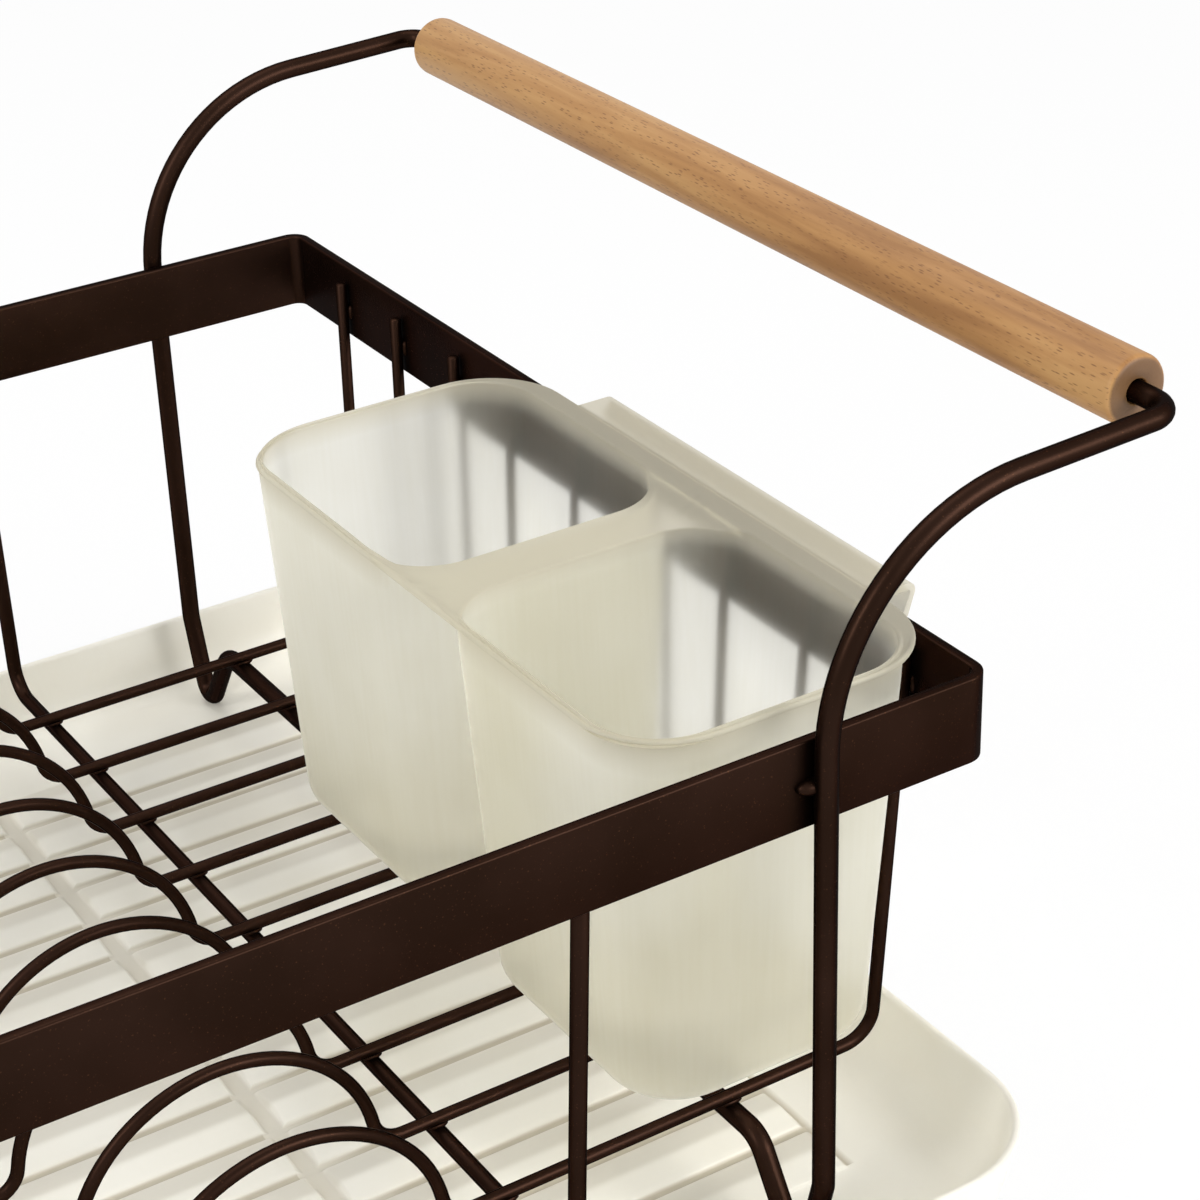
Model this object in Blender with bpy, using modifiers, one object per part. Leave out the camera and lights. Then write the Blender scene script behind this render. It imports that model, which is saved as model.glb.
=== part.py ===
# Wire dish rack: a flat-bar rim, two thick wire hoops with wooden grips, nine long wires with plate arches,
# two cross wires, a hanging cutlery holder and a drip tray.
# Metres. X runs along the rack with the holder's end at +X, Y runs across it and Z is up.
# The origin is the middle of the drip tray's underside.
import math

import bmesh
import bpy
from mathutils import Matrix, Vector

# General
gap = 0.0003              # left between pieces that touch
overrun = 0.0020          # by which a cutter passes the face that it opens
curve_tolerance = 0.0003  # how far a flat stretch may leave its true arc
wire_bevel_segments = 2   # gives a wire eight sides

# Rim, a flat bar bent into a rounded rectangle
rim_length = 0.4160
rim_depth = 0.3160
bar_height = 0.0210
bar_thickness = 0.0026
rim_corner_radius = 0.0055
rack_height = 0.1405  # from the feet's underside to the rim's top

# Wire diameters
hoop_wire_diameter = 0.0052
cross_wire_diameter = 0.0040
long_wire_diameter = 0.0032

# Long wires, which lie along X
long_wire_count = 9
long_wire_from_side = 0.0328
foot_height = 0.0280      # from the feet's underside to the long wires' centre
riser_top_drop = 0.0050   # from the rim's top to the risers' ends
riser_lean_angle = math.radians(0.6)
riser_side_lean = 0.0085  # of the nearest wire's risers, towards the near side
riser_bend_radius = 0.0080

# Plate arches, two on each long wire
arch_radius = 0.0368
arch_from_end = 0.1585  # from the rim's end to an arch's centre
elbow_radius = 0.0070

# Cross wires, which lie along Y under the long wires
cross_wire_from_end = 0.1058
cross_riser_near_lean = 0.0055  # outwards, from its bottom to its end
cross_riser_far_lean = 0.0012   # inwards
cross_wire_bend_radius = 0.0080

# Hoops, each one wire from grip end to grip end by way of both feet
hoop_from_end = 0.0459
handle_arc_radius = 0.0507
handle_arc_start = 0.0030  # below the rim's top
handle_rise_angle = math.radians(2.2)
handle_corner_radius = 0.0065
hoop_end_in_grip = 0.0200
foot_inset = 0.0094        # from a leg to the centre of its foot's bend
foot_bend_radius = 0.0040
foot_lean_angle = math.radians(15.4)
foot_flare_angle = math.radians(32.7)
foot_top_radius = 0.0080

# Grips
grip_diameter = 0.0166
grip_from_end = 0.0442   # from the rim's end out to a grip's axis
grip_end_inset = 0.0090  # from the rim's side to a grip's end face
grip_edge_radius = 0.0016
grip_edge_segments = 2
grip_sides = 24
grip_hole_sides = 12
grip_hole_spare_depth = 0.0020

# Drip tray
tray_side_margin = 0.0160  # by which it passes the rim on every side
tray_height = 0.0220
tray_wall = 0.0020
tray_floor = 0.0020
tray_corner_radius = 0.0300
tray_draft = 0.0050        # by which the wall leans in from top to bottom
tray_bottom_radius = 0.0060
tray_rounding_steps = 3
ridge_count = 15
ridge_from_side = 0.0320   # from the rim's side to the outermost ridge's middle
ridge_groove_width = 0.0016
ridge_slope_width = 0.0062
ridge_end_slope_width = 0.0020
ridge_height = 0.0022
ridge_seat = 0.0010        # by which a ridge is sunk in the floor
channel_from_end = 0.1245  # from the rim's end to the channel between ridges
channel_width = 0.0030
ridge_end_inset = 0.0180   # from the rim's end to the ridges' ends

# Cutlery holder, two tapered cups under one lip that hooks over the rim
holder_wall = 0.0014
holder_floor = 0.0018
lip_height = 0.0033        # from the rim's top to the lip's
lip_thickness = 0.0014
lip_corner_radius = 0.0220
holder_from_side = 0.0088  # from the rim's near side to the lip
holder_length = 0.1820
holder_width = 0.0825
holder_from_end = 0.0028   # from the rim's end to the lip
lip_left = 0.0010          # by which the lip passes the cups' walls on each side
lip_right = 0.0045
lip_end = 0.0010
cup_gap = 0.0118           # between the two cups' walls at the top
cup_clearance = 0.0160     # from the long wires' centre to the cups' underside
cup_corner_radius = 0.0180
cup_left_taper = 0.0045
cup_right_taper = 0.0062
cup_end_taper = 0.0040
cup_bottom_radius = 0.0090
cup_rounding_steps = 3
web_drop = 0.0018          # by which the web between the cups lies below the lip
web_thickness = 0.0016
web_margin = 0.0004        # by which that recess passes the cups' inner faces
web_edge_radius = 0.0006
hook_length = 0.1230
hook_reach = 0.0098        # from the rim's end face to the hook's outside
hook_drop = 0.0090
hook_lean = 0.0036         # by which the hook's flap leans in from top to bottom
hook_wall = 0.0018
hook_edge_radius = 0.0006
drain_hole_diameter = 0.0060
drain_hole_spacing = 0.0260
drain_hole_sides = 10

# Places that follow from the sizes
half_length = rim_length / 2
half_depth = rim_depth / 2
rack_bottom = tray_floor + gap
rim_top = rack_bottom + rack_height
inner_end = half_length - bar_thickness
inner_side = half_depth - bar_thickness
long_wire_z = rack_bottom + foot_height
long_wire_span = rim_depth - 2 * long_wire_from_side
long_wire_pitch = long_wire_span / (long_wire_count - 1)
ridge_pitch = (rim_depth - 2 * ridge_from_side) / (ridge_count - 1)
ridge_width = ridge_pitch - ridge_groove_width
cup_bottom = long_wire_z + cup_clearance
cup_depth = rim_top - cup_bottom
lip_top = rim_top + lip_height
lip_right_x = half_length - holder_from_end
lip_left_x = lip_right_x - holder_width
lip_near_y = holder_from_side - half_depth
lip_far_y = lip_near_y + holder_length
holder_middle_y = (lip_near_y + lip_far_y) / 2
cup_left = lip_left_x + lip_left
cup_right = lip_right_x - lip_right
cup_spans = (
    (lip_near_y + lip_end, holder_middle_y - cup_gap / 2),
    (holder_middle_y + cup_gap / 2, lip_far_y - lip_end),
)
web_top = lip_top - web_drop
web_reach = cup_gap / 2 + cup_corner_radius
under_long_wires = long_wire_z - long_wire_diameter / 2 - gap
grip_x = half_length + grip_from_end
hoop_x = half_length - hoop_from_end
grip_half_length = half_depth - grip_end_inset


def clear_scene():
    for old in list(bpy.data.objects):
        bpy.data.objects.remove(old, do_unlink=True)


def new_collection(name):
    collection = bpy.data.collections.new(name)
    bpy.context.scene.collection.children.link(collection)
    return collection


def new_material(name, colour, roughness, metallic):
    material = bpy.data.materials.new(name)
    material.use_nodes = True
    shader = material.node_tree.nodes["Principled BSDF"]
    shader.inputs["Base Color"].default_value = (*colour, 1)
    shader.inputs["Roughness"].default_value = roughness
    shader.inputs["Metallic"].default_value = metallic
    material.diffuse_color = (*colour, 1)
    return material


def link_object(name, data, collection):
    part = bpy.data.objects.new(name, data)
    collection.objects.link(part)
    return part


def make_cutter(cutter):
    cutter.hide_render = True
    cutter.display_type = "WIRE"
    return cutter


def boolean(part, other, operation):
    modifier = part.modifiers.new(other.name, "BOOLEAN")
    modifier.object = other
    modifier.operation = operation
    modifier.solver = "EXACT"


# Paths of bent wire

def arc_steps(radius, turn):
    step = 2 * math.acos(1 - curve_tolerance / radius)
    return max(2, math.ceil(turn / step))


def arc_points(centre, radius, start, end):
    # Points on an arc in the XZ plane through centre, from the angle start to the angle end
    steps = arc_steps(radius, abs(end - start))
    angles = [start + (end - start) * k / steps for k in range(steps + 1)]
    return [centre + radius * Vector((math.cos(a), 0, math.sin(a))) for a in angles]


def rounded_path(corners):
    # A polyline through (point, bend radius) corners, with each corner turned into an arc
    path = [corners[0][0]]
    for (before, _), (point, radius), (after, _) in zip(corners, corners[1:], corners[2:]):
        back = (before - point).normalized()
        ahead = (after - point).normalized()
        turn = math.pi - back.angle(ahead)
        centre = point + (back + ahead).normalized() * radius / math.cos(turn / 2)
        first = point + back * radius * math.tan(turn / 2) - centre
        axis = (-back).cross(ahead)
        steps = arc_steps(radius, turn)
        for k in range(steps + 1):
            path.append(centre + Matrix.Rotation(turn * k / steps, 3, axis) @ first)
    path.append(corners[-1][0])
    return path


def wire(name, points, diameter, material, collection):
    curve = bpy.data.curves.new(name, "CURVE")
    curve.dimensions = "3D"
    spline = curve.splines.new("POLY")
    spline.points.add(len(points) - 1)
    for target, point in zip(spline.points, points):
        target.co = point.to_4d()
    curve.bevel_depth = diameter / 2
    curve.bevel_resolution = wire_bevel_segments
    curve.use_fill_caps = True
    curve.materials.append(material)
    return link_object(name, curve, collection)


def mirrored(points, axis):
    # The points of the other half, in order, for a path that crosses the plane where axis is zero
    other = []
    for point in reversed(points):
        image = point.copy()
        image[axis] = -image[axis]
        other.append(image)
    return points + other


# Lofted solids with rounded-rectangle sections

def section(x_low, x_high, y_low, y_high, radius, z):
    steps = arc_steps(tray_corner_radius, math.pi / 2)
    centres = [
        (x_high - radius, y_high - radius),
        (x_low + radius, y_high - radius),
        (x_low + radius, y_low + radius),
        (x_high - radius, y_low + radius),
    ]
    points = []
    for quarter, (x, y) in enumerate(centres):
        for k in range(steps + 1):
            angle = math.pi / 2 * (quarter + k / steps)
            points.append(Vector((x + radius * math.cos(angle), y + radius * math.sin(angle), z)))
    return points


def loft(name, solids, material, collection):
    # One mesh of solids, each a list of sections from its bottom to its top
    shape = bmesh.new()
    for sections in solids:
        rings = [[shape.verts.new(point) for point in points] for points in sections]
        for lower, upper in zip(rings, rings[1:]):
            for k in range(len(lower)):
                after = (k + 1) % len(lower)
                shape.faces.new((lower[k], lower[after], upper[after], upper[k]))
        shape.faces.new(reversed(rings[0]))
        shape.faces.new(rings[-1])
    mesh = bpy.data.meshes.new(name)
    shape.to_mesh(mesh)
    shape.free()
    mesh.materials.append(material)
    return link_object(name, mesh, collection)


def cylinder(name, diameter, length, sides, centre, material, collection):
    shape = bmesh.new()
    bmesh.ops.create_cone(
        shape, cap_ends=True, segments=sides, radius1=diameter / 2, radius2=diameter / 2, depth=length
    )
    mesh = bpy.data.meshes.new(name)
    shape.to_mesh(mesh)
    shape.free()
    mesh.materials.append(material)
    part = link_object(name, mesh, collection)
    part.location = centre
    return part


# Rim

def make_rim(material, collection, cutters):
    solids = []
    for inset, extra in ((0, 0), (bar_thickness, overrun)):
        x = half_length - inset
        y = half_depth - inset
        radius = rim_corner_radius - inset
        levels = (rim_top - bar_height - extra, rim_top + extra)
        solids.append([section(-x, x, -y, y, radius, z) for z in levels])
    rim = loft("top_rim", solids[:1], material, collection)
    hollow = loft("rim_hollow", solids[1:], material, cutters)
    boolean(rim, make_cutter(hollow), "DIFFERENCE")


# Long wires

def long_wire_path(y):
    radius = long_wire_diameter / 2
    near_share = 1 / 2 - y / long_wire_span
    top_y = y - riser_side_lean * near_share**2
    top = Vector((inner_end - gap - radius, top_y, rim_top - riser_top_drop))
    lean = (top.z - long_wire_z) * math.tan(riser_lean_angle)
    corner = Vector((top.x - lean, y, long_wire_z))
    arch_centre = Vector((half_length - arch_from_end, y, long_wire_z))
    elbow_reach = math.sqrt((arch_radius + elbow_radius) ** 2 - elbow_radius**2)
    elbow_turn = math.asin(elbow_radius / (arch_radius + elbow_radius))
    lift = Vector((0, 0, elbow_radius))
    right_elbow = arch_centre + Vector((elbow_reach, 0, 0)) + lift
    left_elbow = arch_centre - Vector((elbow_reach, 0, 0)) + lift
    riser = rounded_path([(top, 0), (corner, riser_bend_radius), (arch_centre, 0)])[:-1]
    rise = arc_points(right_elbow, elbow_radius, -math.pi / 2, elbow_turn - math.pi)
    arch = arc_points(arch_centre, arch_radius, elbow_turn, math.pi - elbow_turn)
    fall = arc_points(left_elbow, elbow_radius, -elbow_turn, -math.pi / 2)
    return riser + rise + arch[1:-1] + fall


def make_long_wires(material, collection):
    middle = (long_wire_count - 1) / 2
    for k in range(long_wire_count):
        y = (k - middle) * long_wire_pitch
        half = long_wire_path(y)
        wire(f"long_wire_{k + 1}", mirrored(half, 0), long_wire_diameter, material, collection)


# Cross wires

def make_cross_wires(material, collection):
    radius = cross_wire_diameter / 2
    y = inner_side - gap - radius
    low = under_long_wires - radius
    high = rim_top - riser_top_drop
    for side, name in ((1, "cross_wire_right"), (-1, "cross_wire_left")):
        x = side * (half_length - cross_wire_from_end)
        corners = [
            (Vector((x + side * cross_riser_near_lean, -y, high)), 0),
            (Vector((x, -y, low)), cross_wire_bend_radius),
            (Vector((x, y, low)), cross_wire_bend_radius),
            (Vector((x - side * cross_riser_far_lean, y, high)), 0),
        ]
        wire(name, rounded_path(corners), cross_wire_diameter, material, collection)


# Hoops

def foot_corners(x, leg_y, run_z, low_z):
    # Where the leg starts to lean in, the foot's tip, and where its inner side meets the run under the wires
    centre_y = leg_y - foot_inset
    centre_z = low_z + foot_bend_radius
    outer_y = centre_y + foot_bend_radius * math.cos(foot_lean_angle)
    outer_z = centre_z - foot_bend_radius * math.sin(foot_lean_angle)
    inner_y = centre_y - foot_bend_radius * math.cos(foot_flare_angle)
    inner_z = centre_z - foot_bend_radius * math.sin(foot_flare_angle)
    lean = math.tan(foot_lean_angle)
    flare = math.tan(foot_flare_angle)
    lean_z = outer_z + (leg_y - outer_y) / lean
    tip_z = (inner_y - outer_y + inner_z * flare + outer_z * lean) / (lean + flare)
    tip_y = outer_y + (tip_z - outer_z) * lean
    run_y = inner_y - (run_z - inner_z) * flare
    return [
        (Vector((x, leg_y, lean_z)), foot_top_radius),
        (Vector((x, tip_y, tip_z)), foot_bend_radius),
        (Vector((x, run_y, run_z)), foot_top_radius),
    ]


def hoop_path(side):
    radius = hoop_wire_diameter / 2
    leg_y = half_depth + gap + radius
    x = side * hoop_x
    out = side * grip_x
    arc_turn = math.pi / 2 - handle_rise_angle
    corner_z = rim_top - handle_arc_start + handle_arc_radius * math.tan(arc_turn / 2)
    grip_z = corner_z + (grip_x - hoop_x) * math.tan(handle_rise_angle)
    run_z = under_long_wires - radius
    corners = [
        (Vector((out, grip_half_length - hoop_end_in_grip, grip_z)), 0),
        (Vector((out, leg_y, grip_z)), handle_corner_radius),
        (Vector((x, leg_y, corner_z)), handle_arc_radius),
        *foot_corners(x, leg_y, run_z, rack_bottom + radius),
        (Vector((x, 0, run_z)), 0),
    ]
    return rounded_path(corners)[:-1], grip_z


def make_hoops(material, collection):
    for side, name in ((1, "hoop_right"), (-1, "hoop_left")):
        half, grip_z = hoop_path(side)
        wire(name, mirrored(half, 1), hoop_wire_diameter, material, collection)
    return grip_z


# Grips

def make_grips(grip_z, material, collection, cutters):
    length = 2 * grip_half_length
    hole_diameter = hoop_wire_diameter + 2 * gap
    hole_depth = hoop_end_in_grip + grip_hole_spare_depth
    hole_length = hole_depth + overrun
    for side, name in ((1, "grip_right"), (-1, "grip_left")):
        centre = Vector((side * grip_x, 0, grip_z))
        grip = cylinder(name, grip_diameter, length, grip_sides, centre, material, collection)
        grip.rotation_euler.x = math.pi / 2
        bevel = grip.modifiers.new("rounded_ends", "BEVEL")
        bevel.width = grip_edge_radius
        bevel.segments = grip_edge_segments
        bevel.limit_method = "ANGLE"
        for end in (1, -1):
            middle = end * (grip_half_length + overrun - hole_length / 2)
            place = centre + Vector((0, middle, 0))
            hole = cylinder(
                f"{name}_hole_{end}", hole_diameter, hole_length, grip_hole_sides, place, material, cutters
            )
            hole.rotation_euler.x = math.pi / 2
            boolean(grip, make_cutter(hole), "DIFFERENCE")


# Drip tray

def tray_sections(inset, floor_z, top_z, bottom_radius):
    # Sections of the tray's outside, or of its hollow when inset is the wall's thickness
    x = half_length + tray_side_margin - inset
    y = half_depth + tray_side_margin - inset
    corner = tray_corner_radius - inset
    sections = []
    for k in range(tray_rounding_steps + 1):
        angle = math.pi / 2 * k / tray_rounding_steps
        z = floor_z + bottom_radius * (1 - math.cos(angle))
        rounding = bottom_radius * (1 - math.sin(angle))
        lean = tray_draft * (1 - (z - floor_z) / tray_height)
        out = rounding + lean
        sections.append(section(out - x, x - out, out - y, y - out, corner - out, z))
    rise = tray_draft * (1 - (top_z - floor_z) / tray_height)
    sections.append(section(rise - x, x - rise, rise - y, y - rise, corner - rise, top_z))
    return sections


def ridge_sections(x_low, x_high, y):
    # One ridge from where it is sunk in the floor, up its slopes to its crown
    levels = ((0, tray_floor - ridge_seat), (0, tray_floor), (1, tray_floor + ridge_height))
    sections = []
    for share, z in levels:
        end = ridge_end_slope_width * share
        half = ridge_width / 2 - ridge_slope_width * share
        left, right = x_low + end, x_high - end
        corners = ((left, y - half), (right, y - half), (right, y + half), (left, y + half))
        sections.append([Vector((*corner, z)) for corner in corners])
    return sections


def make_tray(material, collection, cutters):
    outside = tray_sections(0, 0, tray_height, tray_bottom_radius)
    tray = loft("drip_tray", [outside], material, collection)
    hollow_radius = tray_bottom_radius + tray_wall
    inside = tray_sections(tray_wall, tray_floor, tray_height + overrun, hollow_radius)
    hollow = loft("tray_hollow", [inside], material, cutters)
    boolean(tray, make_cutter(hollow), "DIFFERENCE")
    channel_x = half_length - channel_from_end
    middle_end = channel_x - channel_width / 2
    side_start = channel_x + channel_width / 2
    side_end = half_length - ridge_end_inset
    panels = ((-side_end, -side_start), (-middle_end, middle_end), (side_start, side_end))
    middle = (ridge_count - 1) / 2
    solids = []
    for row in range(ridge_count):
        y = (row - middle) * ridge_pitch
        solids += [ridge_sections(x_low, x_high, y) for x_low, x_high in panels]
    boolean(tray, make_cutter(loft("ridges", solids, material, cutters)), "UNION")


# Cutlery holder

def cup_sections(y_low, y_high, inset, floor_z, top_z, bottom_radius):
    # Sections of a cup's outside, or of its hollow when inset is the wall's thickness
    levels = []
    for k in range(cup_rounding_steps + 1):
        angle = math.pi / 2 * k / cup_rounding_steps
        rise = bottom_radius * (1 - math.cos(angle))
        levels.append((floor_z + rise, bottom_radius * (1 - math.sin(angle))))
    levels.append((rim_top, 0))
    levels.append((top_z, 0))
    sections = []
    for z, rounding in levels:
        share = max(0, (rim_top - z) / cup_depth)
        sections.append(
            section(
                cup_left + inset + cup_left_taper * share + rounding,
                cup_right - inset - cup_right_taper * share - rounding,
                y_low + inset + cup_end_taper * share + rounding,
                y_high - inset - cup_end_taper * share - rounding,
                cup_corner_radius - inset - rounding,
                z,
            )
        )
    return sections


def add_lip(holder, material, cutters):
    levels = (lip_top - lip_thickness, lip_top)
    lip = [section(lip_left_x, lip_right_x, lip_near_y, lip_far_y, lip_corner_radius, z) for z in levels]
    boolean(holder, make_cutter(loft("lip", [lip], material, cutters)), "UNION")


def add_web(holder, material, cutters):
    # A plate between the cups, a little lower than the lip
    low = holder_middle_y - web_reach
    high = holder_middle_y + web_reach
    levels = (web_top - web_thickness, lip_top - lip_thickness / 2)
    web = [section(cup_left, cup_right, low, high, web_edge_radius, z) for z in levels]
    boolean(holder, make_cutter(loft("web", [web], material, cutters)), "UNION")


def add_hook(holder, material, cutters):
    # A plate over the rim and a flap down its outside
    bottom = rim_top + gap
    top = bottom + hook_wall
    outside = half_length + hook_reach
    low = holder_middle_y - hook_length / 2
    high = holder_middle_y + hook_length / 2
    inside = cup_right - holder_wall
    plate = [section(inside, outside, low, high, hook_edge_radius, z) for z in (bottom, top)]
    flap = [
        section(x - hook_wall, x, low, high, hook_edge_radius, z)
        for x, z in ((outside - hook_lean, rim_top - hook_drop), (outside, top))
    ]
    boolean(holder, make_cutter(loft("hook_plate", [plate], material, cutters)), "UNION")
    boolean(holder, make_cutter(loft("hook_flap", [flap], material, cutters)), "UNION")


def cut_web_recess(holder, material, cutters):
    left = cup_left + holder_wall - web_margin
    right = cup_right - holder_wall + web_margin
    low = holder_middle_y - web_reach
    high = holder_middle_y + web_reach
    levels = (web_top, lip_top + overrun)
    recess = [section(left, right, low, high, web_edge_radius, z) for z in levels]
    boolean(holder, make_cutter(loft("web_recess", [recess], material, cutters)), "DIFFERENCE")


def cut_drain_holes(holder, material, cutters):
    floor_middle_x = (cup_left + cup_left_taper + cup_right - cup_right_taper) / 2
    length = holder_floor + 2 * overrun
    z = cup_bottom + holder_floor / 2
    for low, high in cup_spans:
        for row in (-1, 1):
            for column in (-1, 1):
                x = floor_middle_x + column * drain_hole_spacing / 2
                y = (low + high) / 2 + row * drain_hole_spacing / 2
                centre = Vector((x, y, z))
                hole = cylinder(
                    "drain_hole", drain_hole_diameter, length, drain_hole_sides, centre, material, cutters
                )
                boolean(holder, make_cutter(hole), "DIFFERENCE")


def make_holder(material, collection, cutters):
    outsides = [
        cup_sections(low, high, 0, cup_bottom, lip_top - lip_thickness / 2, cup_bottom_radius)
        for low, high in cup_spans
    ]
    holder = loft("cutlery_holder", outsides, material, collection)
    add_lip(holder, material, cutters)
    add_web(holder, material, cutters)
    add_hook(holder, material, cutters)
    cup_floor = cup_bottom + holder_floor
    hollow_radius = cup_bottom_radius - holder_wall
    hollows = [
        cup_sections(low, high, holder_wall, cup_floor, lip_top + overrun, hollow_radius)
        for low, high in cup_spans
    ]
    boolean(holder, make_cutter(loft("cup_hollows", hollows, material, cutters)), "DIFFERENCE")
    cut_web_recess(holder, material, cutters)
    cut_drain_holes(holder, material, cutters)


def main():
    clear_scene()
    parts = new_collection("dish_rack")
    cutters = new_collection("cutters")
    steel = new_material("bronze_powder_coated_steel", (0.032, 0.019, 0.014), 0.42, 0.55)
    wood = new_material("rubberwood", (0.60, 0.35, 0.16), 0.55, 0.0)
    frosted = new_material("frosted_polypropylene", (0.68, 0.66, 0.58), 0.45, 0.0)
    make_tray(frosted, parts, cutters)
    make_rim(steel, parts, cutters)
    make_long_wires(steel, parts)
    make_cross_wires(steel, parts)
    grip_z = make_hoops(steel, parts)
    make_grips(grip_z, wood, parts, cutters)
    make_holder(frosted, parts, cutters)


main()
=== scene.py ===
import math
from itertools import product

import bmesh
import bpy
from mathutils import Matrix, Vector, geometry


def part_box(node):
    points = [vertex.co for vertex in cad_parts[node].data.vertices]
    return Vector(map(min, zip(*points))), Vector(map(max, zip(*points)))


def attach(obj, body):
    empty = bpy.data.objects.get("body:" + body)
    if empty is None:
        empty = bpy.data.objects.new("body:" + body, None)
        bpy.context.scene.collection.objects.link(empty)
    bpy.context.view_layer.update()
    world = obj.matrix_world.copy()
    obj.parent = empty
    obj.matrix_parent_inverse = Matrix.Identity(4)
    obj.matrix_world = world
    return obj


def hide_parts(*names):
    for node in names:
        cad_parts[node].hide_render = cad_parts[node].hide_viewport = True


# The look of a wire dish rack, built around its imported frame. Metres; X runs along the rack and Z is up.

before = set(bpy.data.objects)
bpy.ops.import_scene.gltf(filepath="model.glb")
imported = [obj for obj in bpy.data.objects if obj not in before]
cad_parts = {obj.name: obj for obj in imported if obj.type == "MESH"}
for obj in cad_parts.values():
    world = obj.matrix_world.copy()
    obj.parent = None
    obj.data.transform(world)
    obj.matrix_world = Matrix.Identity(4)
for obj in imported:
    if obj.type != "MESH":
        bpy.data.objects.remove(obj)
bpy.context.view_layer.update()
print("frame loaded")


# Places read from the frame

def boxOf(node):
    # A node's lowest and highest corners at rest
    return [Vector(corner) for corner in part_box(node)]


rimLow, rimHigh = boxOf("top_rim")
holderLow, holderHigh = boxOf("cutlery_holder")
trayLow, trayHigh = boxOf("drip_tray")
wireLow, wireHigh = boxOf("long_wire_1")
longWireNames = sorted(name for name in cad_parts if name.startswith("long_wire_"))
rimTop = rimHigh.z
holderMiddle = (holderLow.y + holderHigh.y) / 2
clearance = 0.0003
mergeDistance = 0.000001
# The attribute for the darker tint, which on the tray is painted shade
tintShadeName = "thickShare"


# Helpers for meshes

def closedMesh(name, points, faces):
    # One closed skin with its faces pointing out
    mesh = bpy.data.meshes.new(name)
    mesh.from_pydata([tuple(p) for p in points], [], faces)
    work = bmesh.new()
    work.from_mesh(mesh)
    bmesh.ops.remove_doubles(work, verts=work.verts, dist=mergeDistance)
    bmesh.ops.recalc_face_normals(work, faces=work.faces)
    work.to_mesh(mesh)
    work.free()
    return mesh


def addObject(name, data):
    thing = bpy.data.objects.new(name, data)
    bpy.context.scene.collection.objects.link(thing)
    return thing


def addPiece(name, points, faces, material, body, node, sharpAngle=None):
    # An object that rides on a body and stands for a node of the frame
    mesh = closedMesh(name, points, faces)
    mesh.materials.append(material)
    mesh.shade_smooth()
    if sharpAngle is not None:
        mesh.set_sharp_from_angle(angle=math.radians(sharpAngle))
    piece = addObject(name, mesh)
    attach(piece, body)
    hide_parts(node)
    return piece


def markTintShade(piece, share):
    # Gives each point of a moulded piece its share of the darker tint: painted shade on the tray, and a
    # darker tint on the holder's lip, web and hook
    marks = piece.data.attributes.new(tintShadeName, "FLOAT", "POINT")
    for vertex in piece.data.vertices:
        marks.data[vertex.index].value = share(vertex.co)


def smoothStep(value):
    value = min(max(value, 0.0), 1.0)
    return value * value * (3 - 2 * value)


def turnSteps(turn, steps):
    # The angles from 0 to a turn in equal steps
    return [turn * k / steps for k in range(steps + 1)]


def wholeTurn(sides):
    # The angles around a circle
    return turnSteps(2 * math.pi, sides)[:-1]


def ringFaces(ringCount, pointCount, closedRings=False, first=0):
    # Quads between rings of points that follow each other in one list, from the point numbered first
    faces = []
    last = ringCount if closedRings else ringCount - 1
    for ring in range(last):
        lower = first + ring * pointCount
        upper = first + (ring + 1) % ringCount * pointCount
        for k in range(pointCount):
            after = (k + 1) % pointCount
            faces.append((lower + k, lower + after, upper + after, upper + k))
    return faces


def cappedFaces(ringCount, pointCount):
    # The same with a face over the first ring and one over the last
    total = ringCount * pointCount
    caps = [tuple(range(pointCount)), tuple(range(total - pointCount, total))]
    return ringFaces(ringCount, pointCount) + caps


def arcAround(centre, radius, start, end, stepAngle):
    # Points in the XZ plane
    steps = max(2, math.ceil(abs(end - start) / math.radians(stepAngle)))
    angles = [start + angle for angle in turnSteps(end - start, steps)]
    return [centre + radius * Vector((math.cos(a), 0, math.sin(a))) for a in angles]


def bentPath(corners, stepAngle=6):
    # A line through (point, bend radius) corners, with an arc in place of each corner
    path = [corners[0][0]]
    for (before, _), (point, radius), (after, _) in zip(corners, corners[1:], corners[2:]):
        back = (before - point).normalized()
        ahead = (after - point).normalized()
        turn = math.pi - back.angle(ahead)
        centre = point + (back + ahead).normalized() * radius / math.cos(turn / 2)
        first = point + back * radius * math.tan(turn / 2) - centre
        axis = (-back).cross(ahead)
        steps = max(2, math.ceil(turn / math.radians(stepAngle)))
        path += [centre + Matrix.Rotation(angle, 3, axis) @ first for angle in turnSteps(turn, steps)]
    path.append(corners[-1][0])
    return path


def withMirror(points, axis):
    # A path and its mirror image across the plane where this axis is 0
    other = []
    for point in reversed(points):
        image = point.copy()
        image[axis] = -image[axis]
        other.append(image)
    return points + other


tubeEnd = {"rise": 0.35, "least": 0.9, "dome": ((0.0, 1.0), (0.45, 0.86), (0.8, 0.6))}


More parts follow.
